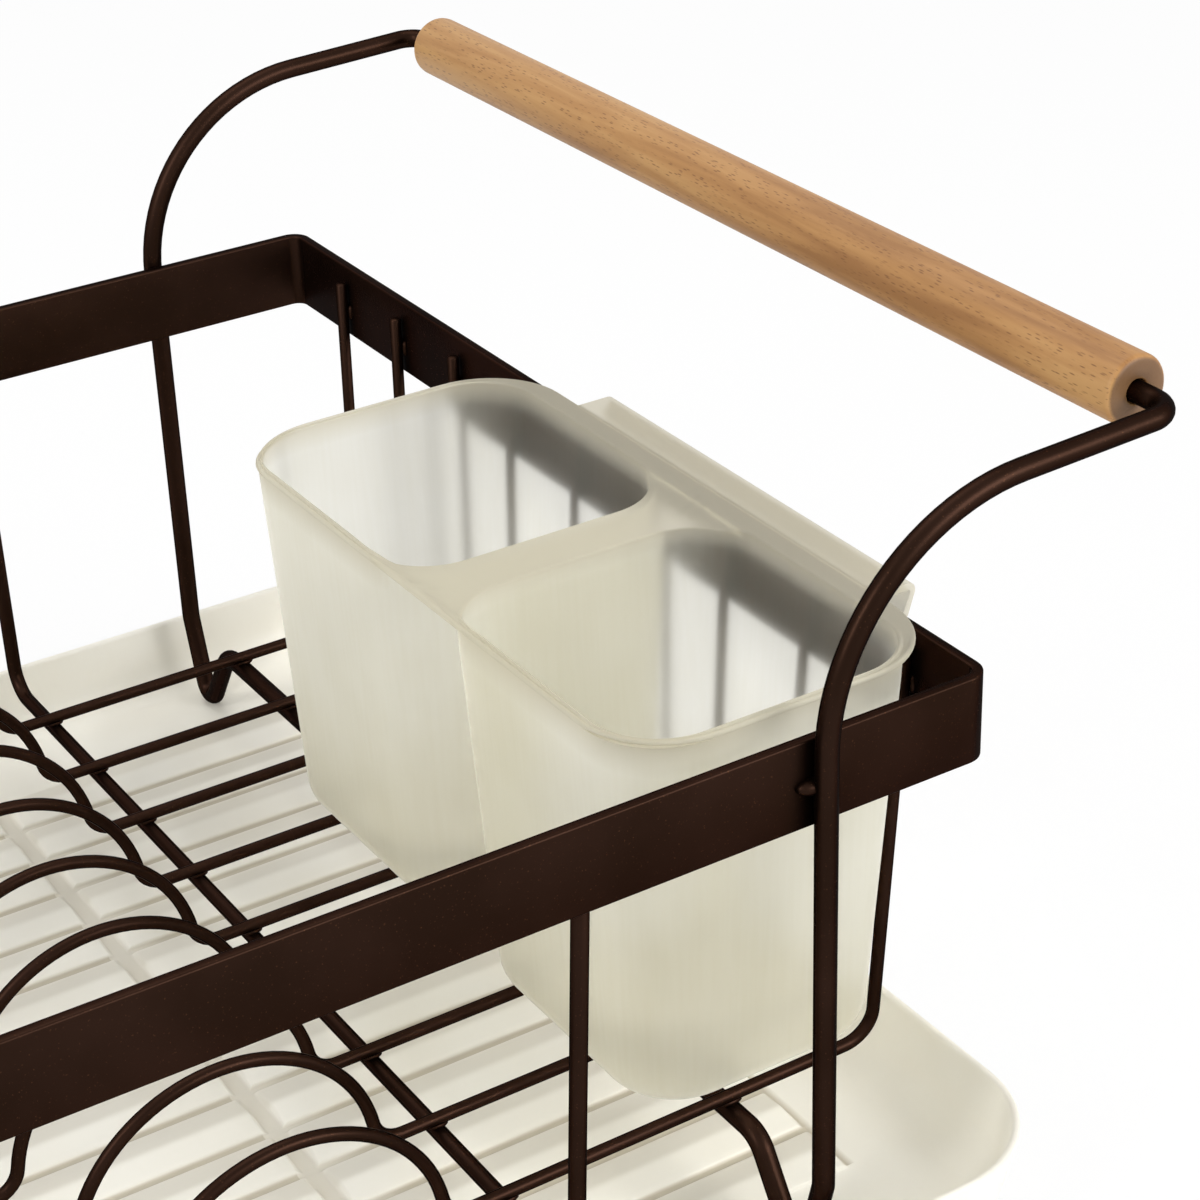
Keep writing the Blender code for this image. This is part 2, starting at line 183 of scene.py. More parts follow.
def tube(path, radius, sides):
    # A round wire along the path, with slightly domed ends; at a bend its rings widen to keep its thickness
    points = []
    count = len(path)
    tangents = []
    for k in range(count):
        before = path[max(k - 1, 0)]
        after = path[min(k + 1, count - 1)]
        tangents.append((after - before).normalized())
    side = tangents[0].orthogonal().normalized()
    rings = []
    for k in range(count):
        if k:
            turn = tangents[k - 1].rotation_difference(tangents[k])
            side = (turn @ side).normalized()
        up = tangents[k].cross(side)
        stretch = 1.0
        if 0 < k < count - 1:
            inward = (path[k] - path[k - 1]).normalized()
            stretch = 1 / max(tubeEnd["least"], inward.dot(tangents[k]))
        rings.append((path[k], side, up, radius * stretch))
    ends = []
    for (point, sideways, up, _), outward in ((rings[0], -tangents[0]), (rings[-1], tangents[-1])):
        ends.append([
            (point + outward * radius * tubeEnd["rise"] * rise, sideways, up, radius * width)
            for rise, width in tubeEnd["dome"]
        ])
    allRings = list(reversed(ends[0][1:])) + rings + ends[1][1:]
    for point, sideways, up, size in allRings:
        for angle in wholeTurn(sides):
            points.append(point + size * (math.cos(angle) * sideways + math.sin(angle) * up))
    return points, cappedFaces(len(allRings), sides)


def bead(centre, radii, sides=10, rings=6):
    # A small lens of weld metal
    points = []
    for j in range(1, rings):
        polar = math.pi * j / rings
        for angle in wholeTurn(sides):
            points.append(centre + Vector((
                radii[0] * math.sin(polar) * math.cos(angle),
                radii[1] * math.sin(polar) * math.sin(angle),
                radii[2] * math.cos(polar),
            )))
    return points, cappedFaces(rings - 1, sides)


def levelArc(x, y, z, radius, angles):
    # Points around a centre, all at the same height
    return [Vector((x + radius * math.cos(a), y + radius * math.sin(a), z)) for a in angles]


def roundedRectangle(low, high, inset, cornerRadius, z, cornerSteps):
    # The outline of a box seen from above, drawn in by inset, counterclockwise from the +X side's upper end
    radius = cornerRadius - inset
    reach = inset + radius
    centres = (
        (high.x - reach, high.y - reach),
        (low.x + reach, high.y - reach),
        (low.x + reach, low.y + reach),
        (high.x - reach, low.y + reach),
    )
    points = []
    for quarter, (x, y) in enumerate(centres):
        angles = [math.pi / 2 * (quarter + k / cornerSteps) for k in range(cornerSteps + 1)]
        points += levelArc(x, y, z, radius, angles)
    return points


# Helpers for materials

def linear(hexColour):
    # An sRGB hex colour as linear RGBA
    channels = [int(hexColour[k:k + 2], 16) / 255 for k in (1, 3, 5)]
    values = [c / 12.92 if c <= 0.04045 else ((c + 0.055) / 1.055) ** 2.4 for c in channels]
    return (*values, 1)


def addNode(tree, kind, inputs=None, **attributes):
    # Inputs go by name or by number, and each is a value or another node's output
    node = tree.nodes.new(kind)
    for key, value in attributes.items():
        setattr(node, key, value)
    for key, value in (inputs or {}).items():
        if isinstance(value, bpy.types.NodeSocket):
            tree.links.new(value, node.inputs[key])
        else:
            node.inputs[key].default_value = value
    return node


def scaled(tree, place, sizes):
    # A place measured in these sizes along the three axes
    scale = [1 / size for size in sizes]
    return addNode(tree, "ShaderNodeMapping", {"Vector": place, "Scale": scale}).outputs["Vector"]


def noise(tree, place, size, detail, **others):
    # A soft random value that changes over about this size
    inputs = {"Vector": place, "Scale": 1 / size, "Detail": detail, **others}
    return addNode(tree, "ShaderNodeTexNoise", inputs).outputs["Fac"]


def ramp(tree, value, positions, colours):
    # The colour at a value, between hex colours at these positions
    node = addNode(tree, "ShaderNodeValToRGB", {"Fac": value})
    elements = node.color_ramp.elements
    while len(elements) < len(positions):
        elements.new(0.5)
    for element, position, colour in zip(elements, positions, colours):
        element.position = position
        element.color = linear(colour)
    return node.outputs["Color"]


def remap(tree, value, source, target=(0.0, 1.0), interpolation="LINEAR"):
    # A value's place between the two of source, moved to between the two of target
    inputs = {
        "Value": value, "From Min": source[0], "From Max": source[1], "To Min": target[0], "To Max": target[1]
    }
    return addNode(tree, "ShaderNodeMapRange", inputs, interpolation_type=interpolation).outputs["Result"]


def mixValues(tree, share, first, second):
    inputs = {0: share, 2: first, 3: second}
    return addNode(tree, "ShaderNodeMix", inputs, data_type="FLOAT").outputs[0]


def tinted(tree, colour, hexColour, share):
    inputs = {0: share, 6: colour, 7: linear(hexColour)}
    return addNode(tree, "ShaderNodeMix", inputs, data_type="RGBA").outputs[2]


def calculate(tree, operation, *values):
    return addNode(tree, "ShaderNodeMath", dict(enumerate(values)), operation=operation).outputs[0]


def bump(tree, height, strength, distance, invert=False):
    inputs = {"Height": height, "Strength": strength, "Distance": distance}
    return addNode(tree, "ShaderNodeBump", inputs, invert=invert).outputs["Normal"]


def addShader(tree, kind, inputs=None):
    return addNode(tree, kind, inputs).outputs[0]


def mixShaders(tree, share, first, second):
    return addShader(tree, "ShaderNodeMixShader", {0: share, 1: first, 2: second})


def newMaterial(name):
    material = bpy.data.materials.new(name)
    material.use_nodes = True
    material.node_tree.nodes.clear()
    return material, material.node_tree


# Steel wire and bar, powder coated in satin bronze and baked: dark and even, with faint metallic flecks and
# the fine orange peel that the melted powder leaves

coatLook = {
    "dark": "#281a13",
    "light": "#302019",
    "cloudSize": 0.030,
    "fleck": "#452e21",
    "fleckSize": 0.00025,    # drawn coarser than the real pigment, so that it shows
    "fleckShare": 0.02,
    "cloudStops": (0.35, 0.65),
    "roughStops": (0.3, 0.7),
    "roughness": (0.36, 0.44),
    "metallic": 0.92,
    "edgeTint": "#7c685b",
    "grainSize": 0.00050,
    "grainDepth": 0.00003,
    "grainStrength": 0.5,
}


def makeCoat():
    look = coatLook
    material, tree = newMaterial("BronzePowderCoatedSteel")
    place = addNode(tree, "ShaderNodeTexCoord").outputs["Object"]
    cloud = noise(tree, place, look["cloudSize"], 3.0)
    base = ramp(tree, cloud, look["cloudStops"], (look["dark"], look["light"]))
    cells = addNode(tree, "ShaderNodeTexVoronoi", {"Vector": place, "Scale": 1 / look["fleckSize"]})
    chance = addNode(tree, "ShaderNodeSeparateColor", {"Color": cells.outputs["Color"]}).outputs["Red"]
    fleck = remap(tree, chance, (1 - look["fleckShare"], 1.0))
    grain = noise(tree, place, look["grainSize"], 2.0)
    shader = addShader(
        tree,
        "ShaderNodeBsdfPrincipled",
        {
            "Base Color": tinted(tree, base, look["fleck"], fleck),
            "Metallic": look["metallic"],
            "Roughness": remap(tree, cloud, look["roughStops"], look["roughness"]),
            "Specular Tint": linear(look["edgeTint"]),
            "Normal": bump(tree, grain, look["grainStrength"], look["grainDepth"]),
        },
    )
    addNode(tree, "ShaderNodeOutputMaterial", {"Surface": shader})
    return material


# Rubberwood, turned, sanded and lacquered matt: pale honey bands along the grip with short dark pores,
# greyer on the end grain

woodLook = {
    "pale": "#c4965f",
    "middle": "#b4844f",
    "deep": "#9c6d3d",
    "pore": "#6f4524",
    "endGrain": "#6f5136",
    "bandWidth": 0.0022,
    "bandStretch": 14,
    "broadWidth": 0.0120,
    "broadShare": 0.5,
    "figureStops": (0.38, 0.49, 0.58),
    "poreLength": 0.0034,
    "poreWidth": 0.0006,
    "poreEdge": (0.14, 0.36),
    "patchStops": (0.35, 0.6),
    "poreChance": (0.1, 0.7),
    "poreDepth": 0.00008,
    "poreStrength": 0.35,
    "endFacing": (0.7, 0.95),
    "endShare": 0.9,
    "roughness": 0.5,
    "specular": 0.4,
}


def makeWood():
    look = woodLook
    material, tree = newMaterial("Rubberwood")
    coordinates = addNode(tree, "ShaderNodeTexCoord").outputs
    along = scaled(tree, coordinates["Object"], (1, look["bandStretch"], 1))
    # A pale and a dark band lie in one period of the noise
    bands = noise(tree, along, 2 * look["bandWidth"], 4.0, Roughness=0.55, Distortion=0.4)
    broad = noise(tree, along, look["broadWidth"], 2.0)
    figure = mixValues(tree, look["broadShare"], bands, broad)
    base = ramp(tree, figure, look["figureStops"], (look["deep"], look["middle"], look["pale"]))
    poreSizes = (look["poreWidth"], look["poreLength"], look["poreWidth"])
    porePlace = scaled(tree, coordinates["Object"], poreSizes)
    cells = addNode(tree, "ShaderNodeTexVoronoi", {"Vector": porePlace, "Scale": 1.0})
    core = remap(tree, cells.outputs["Distance"], look["poreEdge"], (1.0, 0.0), "SMOOTHSTEP")
    patch = noise(tree, along, look["bandWidth"], 1.0)
    pore = calculate(tree, "MULTIPLY", core, remap(tree, patch, look["patchStops"], look["poreChance"]))
    facing = addNode(tree, "ShaderNodeSeparateXYZ", {"Vector": coordinates["Normal"]}).outputs["Y"]
    end = remap(tree, calculate(tree, "ABSOLUTE", facing), look["endFacing"], (0.0, look["endShare"]))
    shader = addShader(
        tree,
        "ShaderNodeBsdfPrincipled",
        {
            "Base Color": tinted(tree, tinted(tree, base, look["pore"], pore), look["endGrain"], end),
            "Roughness": look["roughness"],
            "Specular IOR Level": look["specular"],
            "Normal": bump(tree, pore, look["poreStrength"], look["poreDepth"], invert=True),
        },
    )
    addNode(tree, "ShaderNodeOutputMaterial", {"Surface": shader})
    return material


# Polypropylene, moulded against finely blasted steel: milky, with soft blurs of what stands close behind it.
# Each wall scatters light once, where it enters, and lets it out at its other face. The tray is the same
# plastic with more pigment, which hides what lies under it.

holderLook = {
    "body": "#f4f2e6",
    "shade": "#ebe8d8",
    "thick": "#d9d3bf",
    "clearShare": 0.90,
    "throughShare": 0.27,
    "milkShare": 0.45,
    "roughness": 0.50,
    "ior": 1.30,
    "cloudSize": 0.035,
    "cloudStops": (0.35, 0.65),
    "streakWidth": 0.0012,
    "streakLength": 0.0600,
    "streakShare": 0.25,
    "grainSize": 0.00040,
    "grainDepth": 0.00002,
    "grainStrength": 0.3,
}
trayLook = {
    **holderLook,
    "body": "#fdfaef",
    "shade": "#f9f5e8",
    # The tray's darker tint is painted shade in its grooves, its channel and on its ridges' far slopes
    "thick": "#b9ae97",
    "streakShare": 0.1,
    "clearShare": 0.0,
    "throughShare": 0.12,
    "roughness": 0.40,
    "ior": 1.45,
}


def makeFrosted(name, look):
    material, tree = newMaterial(name)
    place = addNode(tree, "ShaderNodeTexCoord").outputs["Object"]
    cloud = noise(tree, place, look["cloudSize"], 2.0)
    streakPlace = scaled(tree, place, (look["streakWidth"], look["streakWidth"], look["streakLength"]))
    marks = mixValues(tree, look["streakShare"], cloud, noise(tree, streakPlace, 1, 2.0))
    base = ramp(tree, marks, look["cloudStops"], (look["shade"], look["body"]))
    # The darker tint from the mesh attribute, which on the tray is painted shade, also makes the plastic more
    # diffuse there
    thick = addNode(tree, "ShaderNodeAttribute", attribute_name=tintShadeName).outputs["Fac"]
    colour = tinted(tree, base, look["thick"], thick)
    grain = noise(tree, place, look["grainSize"], 2.0)
    normal = bump(tree, grain, look["grainStrength"], look["grainDepth"])
    skin = addShader(
        tree,
        "ShaderNodeBsdfPrincipled",
        {
            "Base Color": colour,
            "Roughness": look["roughness"],
            "IOR": look["ior"],
            "Transmission Weight": look["clearShare"],
            "Normal": normal,
        },
    )
    through = addShader(tree, "ShaderNodeBsdfTranslucent", {"Color": colour, "Normal": normal})
    thin = mixShaders(tree, look["throughShare"], skin, through)
    milk = addShader(tree, "ShaderNodeBsdfDiffuse", {"Color": colour, "Normal": normal})
    front = mixShaders(tree, calculate(tree, "MULTIPLY", thick, look["milkShare"]), thin, milk)
    behind = addNode(tree, "ShaderNodeNewGeometry").outputs["Backfacing"]
    wall = mixShaders(tree, behind, front, addShader(tree, "ShaderNodeBsdfTransparent"))
    addNode(tree, "ShaderNodeOutputMaterial", {"Surface": wall})
    return material


coat = makeCoat()
wood = makeWood()
holderPlastic = makeFrosted("FrostedPolypropylene", holderLook)
trayPlastic = makeFrosted("IvoryPolypropylene", trayLook)
print("materials made")


# Rim

rimShape = {
    "thickness": 0.0026,
    "cornerRadius": 0.0055,
    "edgeRadius": 0.0005,
    "cornerSteps": 8,
    "edgeSteps": 3,
    "sharpAngle": 40,
}


def buildRim():
    thick = rimShape["thickness"]
    edge = rimShape["edgeRadius"]
    low, high = rimLow.z, rimHigh.z
    corners = (
        (edge, high - edge, math.pi),
        (thick - edge, high - edge, math.pi / 2),
        (thick - edge, low + edge, 0),
        (edge, low + edge, -math.pi / 2),
    )
    profile = []
    for inset, z, start in corners:
        for turn in turnSteps(math.pi / 2, rimShape["edgeSteps"]):
            angle = start - turn
            profile.append((inset + edge * math.cos(angle), z + edge * math.sin(angle)))
    points = []
    for inset, z in profile:
        points += roundedRectangle(
            rimLow, rimHigh, inset, rimShape["cornerRadius"], z, rimShape["cornerSteps"]
        )
    count = len(points) // len(profile)
    faces = ringFaces(len(profile), count, closedRings=True)
    addPiece("Rim", points, faces, coat, "rack", "top_rim", rimShape["sharpAngle"])


buildRim()
print("rim built")


# Long wires

def addWire(name, parts, node):
    # A wire and its welds as one piece of the rack
    points, faces = [], []
    for morePoints, moreFaces in parts:
        first = len(points)
        points += morePoints
        faces += [tuple(first + k for k in face) for face in moreFaces]
    addPiece(name, points, faces, coat, "rack", node)


longWireShape = {
    "bendRadius": 0.0080,
    "archRadius": 0.0368,
    "archX": 0.0495,
    "elbowRadius": 0.0070,
    "leanAngle": 0.6,
    "sideLean": 0.0085,
    "wireRadius": 0.0016,
    "weldDrop": 0.0135,
    "weldRadii": (0.0009, 0.0011, 0.0024),
    "weldSpread": 0.8,    # from the wire's middle, in radii
    "sides": 14,
    "elbowStep": 12,
    "archStep": 4,
}


def buildLongWires():
    radius = longWireShape["wireRadius"]
    nearestY = wireHigh.y - radius
    for name in longWireNames:
        low, high = boxOf(name)
        y = high.y - radius
        nearShare = 0.5 + 0.5 * y / nearestY
        baseZ = low.z + radius
        top = Vector((high.x - radius, y - longWireShape["sideLean"] * nearShare**2, high.z))
        lean = (top.z - baseZ) * math.tan(math.radians(longWireShape["leanAngle"]))
        arch = longWireShape["archRadius"]
        elbow = longWireShape["elbowRadius"]
        centre = Vector((longWireShape["archX"], y, baseZ))
        reach = math.sqrt((arch + elbow) ** 2 - elbow**2)
        turn = math.asin(elbow / (arch + elbow))
        lift = Vector((0, 0, elbow))
        right = centre + Vector((reach, 0, 0)) + lift
        left = centre - Vector((reach, 0, 0)) + lift
        riser = bentPath([
            (top, 0),
            (Vector((top.x - lean, y, baseZ)), longWireShape["bendRadius"]),
            (centre, 0),
        ])[:-1]
        half = (
            riser
            + arcAround(right, elbow, -math.pi / 2, turn - math.pi, longWireShape["elbowStep"])
            + arcAround(centre, arch, turn, math.pi - turn, longWireShape["archStep"])[1:-1]
            + arcAround(left, elbow, -turn, -math.pi / 2, longWireShape["elbowStep"])
        )
        drop = longWireShape["weldDrop"]
        weldY = top.y + (y - top.y) * drop / (top.z - baseZ)
        parts = [tube(withMirror(half, 0), radius, longWireShape["sides"])]
        spread = radius * longWireShape["weldSpread"]
        for end in (-1, 1):
            for side in (-1, 1):
                weld = Vector((end * (high.x + clearance / 2), weldY + side * spread, rimTop - drop))
                parts.append(bead(weld, longWireShape["weldRadii"]))
        addWire(name.replace("_", ""), parts, name)


buildLongWires()
print("long wires built")


# Cross wires

crossWireShape = {
    "bendRadius": 0.0080,
    "wireRadius": 0.0020,
    "nearLean": 0.0055,
    "farLean": 0.0012,
    "weldRadii": (0.0026, 0.0014, 0.0009),
    "sides": 16,
}


def wireCrossings(x, radii):
    # Welds between the wire that runs along Y at x and the long wires over it
    z = wireLow.z - clearance / 2
    places = [Vector((x, boxOf(name)[1].y - longWireShape["wireRadius"], z)) for name in longWireNames]
    return [bead(place, radii) for place in places]


def buildCrossWires():
    shape = crossWireShape
    radius = shape["wireRadius"]
    for side, name, label in (
        (1, "cross_wire_right", "CrossWireRight"),
        (-1, "cross_wire_left", "CrossWireLeft"),
    ):
        low, high = boxOf(name)
        outermost = high.x if side > 0 else low.x
        x = outermost - side * (shape["nearLean"] + radius)
        baseZ = low.z + radius
        y = high.y - radius
        path = bentPath([
            (Vector((x + side * shape["nearLean"], -y, high.z)), 0),
            (Vector((x, -y, baseZ)), shape["bendRadius"]),
            (Vector((x, y, baseZ)), shape["bendRadius"]),
            (Vector((x - side * shape["farLean"], y, high.z)), 0),
        ])
        addWire(label, [tube(path, radius, shape["sides"]), *wireCrossings(x, shape["weldRadii"])], name)


buildCrossWires()
print("cross wires built")


# Hoops

hoopShape = {
    "wireRadius": 0.0026,
    "legX": 0.1621,
    "arcRadius": 0.0507,
    "arcStart": 0.0030,
    "riseAngle": 2.2,
    "cornerRadius": 0.0065,
    "endInGrip": 0.0200,
    "footInset": 0.0094,
    "footBendRadius": 0.0040,
    "footLean": 15.4,
    "footFlare": 32.7,
    "footTopRadius": 0.0080,
    "weldDrop": 0.0107,
    "weldRadii": (0.0040, 0.0025, 0.0019),
    "legWelds": ((-0.75, 1.0), (1, 0.6)),    # each weld's place across the wire, in radii, and its size
    "runWeldRadii": (0.0030, 0.0014, 0.0010),
    "sides": 20,
    "bendStep": 4,
    "weldSides": 14,
    "weldRings": 8,
}


def footCorners(x, legY, runZ, lowZ):
    # A leg's three bends: where it starts to lean inwards, at the foot's tip, and where the rise behind
    # the foot meets the run across the rack
    bend = hoopShape["footBendRadius"]
    lean = math.radians(hoopShape["footLean"])
    flare = math.radians(hoopShape["footFlare"])
    centreY = legY - hoopShape["footInset"]
    centreZ = lowZ + bend
    outerY = centreY + bend * math.cos(lean)
    outerZ = centreZ - bend * math.sin(lean)
    innerY = centreY - bend * math.cos(flare)
    innerZ = centreZ - bend * math.sin(flare)
    outerSlope, innerSlope = math.tan(lean), math.tan(flare)
    leanZ = outerZ + (legY - outerY) / outerSlope
    tipZ = (innerY - outerY + innerZ * innerSlope + outerZ * outerSlope) / (outerSlope + innerSlope)
    tipY = outerY + (tipZ - outerZ) * outerSlope
    runY = innerY - (runZ - innerZ) * innerSlope
    return [
        (Vector((x, legY, leanZ)), hoopShape["footTopRadius"]),
        (Vector((x, tipY, tipZ)), bend),
        (Vector((x, runY, runZ)), hoopShape["footTopRadius"]),
    ]


def buildHoops():
    radius = hoopShape["wireRadius"]
    arcTurn = math.pi / 2 - math.radians(hoopShape["riseAngle"])
    for side, name, gripName, label in (
        (1, "hoop_right", "grip_right", "HoopRight"),
        (-1, "hoop_left", "grip_left", "HoopLeft"),
    ):
        low, high = boxOf(name)
        gripLow, gripHigh = boxOf(gripName)
        legY = high.y - radius
        lowZ = low.z + radius
        runZ = wireLow.z - clearance - radius
        x = side * hoopShape["legX"]
        out = (gripLow.x + gripHigh.x) / 2
        cornerZ = rimTop - hoopShape["arcStart"] + hoopShape["arcRadius"] * math.tan(arcTurn / 2)
        gripZ = (gripLow.z + gripHigh.z) / 2
        corners = [
            (Vector((out, gripHigh.y - hoopShape["endInGrip"], gripZ)), 0),
            (Vector((out, legY, gripZ)), hoopShape["cornerRadius"]),
            (Vector((x, legY, cornerZ)), hoopShape["arcRadius"]),
            *footCorners(x, legY, runZ, lowZ),
            (Vector((x, 0, runZ)), 0),
        ]
        half = bentPath(corners, hoopShape["bendStep"])[:-1]
        parts = [tube(withMirror(half, 1), radius, hoopShape["sides"])]
        parts += wireCrossings(x, hoopShape["runWeldRadii"])
        for end in (-1, 1):
            face = end * (rimHigh.y + clearance)
            for across, share in hoopShape["legWelds"]:
                weld = Vector((x + side * across * radius, face, rimTop - hoopShape["weldDrop"]))
                radii = [share * size for size in hoopShape["weldRadii"]]
                parts.append(bead(weld, radii, hoopShape["weldSides"], hoopShape["weldRings"]))
        addWire(label, parts, name)


buildHoops()
print("hoops built")


# Grips

gripShape = {
    "edgeRadius": 0.0016,
    "holeRadius": 0.0029,
    "holeDepth": 0.0220,
    "holeTipRadius": 0.0001,
    "holeEdge": 0.0004,
    "sides": 56,
    "edgeSteps": 5,
    "sharpAngle": 50,
}


def buildGrips():
    for name, label, body in (
        ("grip_right", "GripRight", "right_grip"),
        ("grip_left", "GripLeft", "left_grip"),
    ):
        low, high = boxOf(name)
        radius = (high.z - low.z) / 2
        centre = (low + high) / 2
        end = (high.y - low.y) / 2
        edge = gripShape["edgeRadius"]
        hole = gripShape["holeRadius"]
        floor = end - gripShape["holeDepth"]
        profile = [(floor, gripShape["holeTipRadius"]), (floor, hole)]
        profile += [(end - gripShape["holeEdge"], hole), (end, hole + gripShape["holeEdge"])]
        for angle in reversed(turnSteps(math.pi / 2, gripShape["edgeSteps"])):
            profile.append((end - edge + edge * math.sin(angle), radius - edge + edge * math.cos(angle)))
        profile += [(-y, r) for y, r in reversed(profile)]
        points = []
        count = gripShape["sides"]
        for y, r in profile:
            for angle in wholeTurn(count):
                points.append(centre + Vector((r * math.cos(angle), y, r * math.sin(angle))))
        faces = cappedFaces(len(profile), count)
        addPiece(label, points, faces, wood, body, name, gripShape["sharpAngle"])


buildGrips()
print("grips built")


# Drip tray

trayShape = {
    "wall": 0.0020,
    "floor": 0.0020,
    "cornerRadius": 0.0300,
    "draft": 0.0050,
    "bottomRadius": 0.0060,
    "ridgeCount": 15,
    "ridgePitch": 0.0180,
    "grooveWidth": 0.0016,
    "grooveDepth": 0.0009,
    "grooveSlope": 0.0009,
    "ridgeHeight": 0.0022,
    "crownShare": 0.10,
    "channelX": 0.0835,
    "channelWidth": 0.0030,
    "ridgeEndX": 0.1900,
    "endSlope": 0.0020,
    "gridMargin": 0.0020,
    "slopeShares": (0, 0.15, 0.35, 0.5, 0.65, 0.85, 1),
    "endShares": (0, 0.15, 0.3, 0.5, 0.7, 0.85, 1),
    "crownSteps": (0, 0.0004, 0.0009, 0.0016, 0.0030, 0.0045, 0.0060),
    "innerColumns": (0, 0.02, 0.04, 0.06, 0.075),
    "outerColumns": (0.10, 0.12, 0.14, 0.16, 0.175),
    # Painted shade in the tray's grooves, its channel and on the far slopes of its ridges
    "grooveTint": 0.75,
    "channelTint": 0.40,
    "farTint": 0.26,
    "farBlend": 0.0030,
    "cornerSteps": 14,
    "curveSteps": 8,
    "underSteps": 6,
    "sharpAngle": 50,
}


def ridgeRise(x, y):
    # The floor's rise over its flat level: two shallow slopes on each ridge, with narrow grooves between them
    shape = trayShape
    half = (shape["ridgePitch"] - shape["grooveWidth"]) / 2
    middle = (shape["ridgeCount"] - 1) / 2
    row = min(max(round(y / shape["ridgePitch"] + middle), 0), 2 * middle)
    across = half - abs(y - (row - middle) * shape["ridgePitch"])
    inner = shape["channelX"] - shape["channelWidth"] / 2
    outer = shape["channelX"] + shape["channelWidth"] / 2
    if abs(x) < shape["channelX"]:
        along = inner - abs(x)
    else:
        along = min(abs(x) - outer, shape["ridgeEndX"] - abs(x))
    if across <= 0 or along <= 0:
        return 0.0
    bend = shape["crownShare"]
    t = 1 - across / half
    gable = (math.hypot(1, bend) - math.hypot(t, bend)) / (math.hypot(1, bend) - bend)
    rise = (shape["ridgeHeight"] - shape["grooveDepth"]) * gable
    return rise * smoothStep(along / shape["endSlope"]) + shape["grooveDepth"] * smoothStep(
        min(across / shape["grooveSlope"], along / shape["endSlope"])
    )


def paintedShadeShare(point):
    # Painted shade: darkest in the grooves, some in the channel and on each ridge's far slope, which is
    # turned from the light; none elsewhere
    shape = trayShape
    pitch = shape["ridgePitch"]
    edge = shape["ridgeCount"] * pitch / 2 - shape["grooveWidth"]
    ridgeTop = shape["floor"] + shape["ridgeHeight"]
    if abs(point.x) >= shape["ridgeEndX"] or abs(point.y) >= edge or point.z > ridgeTop:
        return 0.0
    offset = point.y - round(point.y / pitch) * pitch
    beside = abs(abs(point.x) - shape["channelX"]) < shape["channelWidth"] / 2 + shape["endSlope"]
    low = 1 - smoothStep((point.z - shape["floor"]) / shape["grooveDepth"])
    blend = shape["farBlend"]
    far = smoothStep(0.5 + offset / blend) * smoothStep((pitch / 2 - offset) / blend)
    return max(low * (shape["channelTint"] if beside else shape["grooveTint"]), far * shape["farTint"])


def gridColumns():
    # Places along half the tray, close together where ridges end
    shape = trayShape
    inner = shape["channelX"] - shape["channelWidth"] / 2
    outer = shape["channelX"] + shape["channelWidth"] / 2
    columns = [*shape["innerColumns"], *shape["outerColumns"], shape["ridgeEndX"] + shape["gridMargin"]]
    for share in shape["endShares"]:
        step = shape["endSlope"] * share
        columns += [inner - step, outer + step, shape["ridgeEndX"] - step]
    return sorted(columns)


def gridRows():
    # Places across the tray, close together at the grooves and at the crowns
    shape = trayShape
    half = (shape["ridgePitch"] - shape["grooveWidth"]) / 2
    offsets = list(shape["crownSteps"])
    offsets += [half - shape["grooveSlope"] * share for share in reversed(shape["slopeShares"])]
    around = [-offset for offset in reversed(offsets[1:])] + offsets
    middle = (shape["ridgeCount"] - 1) / 2
    rows = []
    for row in range(shape["ridgeCount"]):
        rows += [(row - middle) * shape["ridgePitch"] + offset for offset in around]
    edge = rows[-1] + shape["gridMargin"]
    return [-edge, *rows, edge]


def buildTray():
    shape = trayShape
    height = trayHigh.z
    halfRight = gridColumns()
    xs = [-x for x in reversed(halfRight[1:])] + halfRight
    ys = gridRows()
    rows = len(ys) - 1
    points = [Vector((x, y, shape["floor"] + ridgeRise(x, y))) for y in ys for x in xs]
    width = len(xs)
    faces = []
    for j in range(rows):
        for i in range(width - 1):
            first = j * width + i
            faces.append((first, first + 1, first + width + 1, first + width))
    border = (
        list(range(width))
        + [j * width + width - 1 for j in range(1, rows + 1)]
        + [rows * width + i for i in range(width - 2, -1, -1)]
        + [j * width for j in range(rows - 1, 0, -1)]
    )

    def lean(z):
        return shape["draft"] * (1 - z / height)

    outer = shape["bottomRadius"]
    inner = outer + shape["wall"]
    lip = shape["wall"] / 2
    profile = []
    for angle in turnSteps(math.pi / 2, shape["curveSteps"]):
        z = shape["floor"] + inner * (1 - math.cos(angle))
        profile.append((shape["wall"] + lean(z) + inner * (1 - math.sin(angle)), z))
    for angle in turnSteps(math.pi, shape["curveSteps"]):
        z = height - lip + lip * math.sin(angle)
        profile.append((lean(z) + lip + lip * math.cos(angle), z))
    for angle in reversed(turnSteps(math.pi / 2, shape["underSteps"])):
        z = outer * (1 - math.cos(angle))
        profile.append((lean(z) + outer * (1 - math.sin(angle)), z))
    firstRing = len(points)
    for inset, z in profile:
        points += roundedRectangle(
            trayLow, trayHigh, inset, shape["cornerRadius"], z, shape["cornerSteps"]
        )
    count = (len(points) - firstRing) // len(profile)
    faces += ringFaces(len(profile), count, first=firstRing)
    faces.append(tuple(range(len(points) - count, len(points))))
    ring = list(range(firstRing, firstRing + count))
    outline = [points[k] for k in ring]
    hole = [points[k] for k in border]
    around = ring + border
    for triangle in geometry.tessellate_polygon([outline, hole]):
        faces.append(tuple(around[k] for k in triangle))
    tray = addPiece(
        "DripTray", points, faces, trayPlastic, "tray", "drip_tray", shape["sharpAngle"]
    )
    markTintShade(tray, paintedShadeShare)


buildTray()
print("tray built")


# Cutlery holder

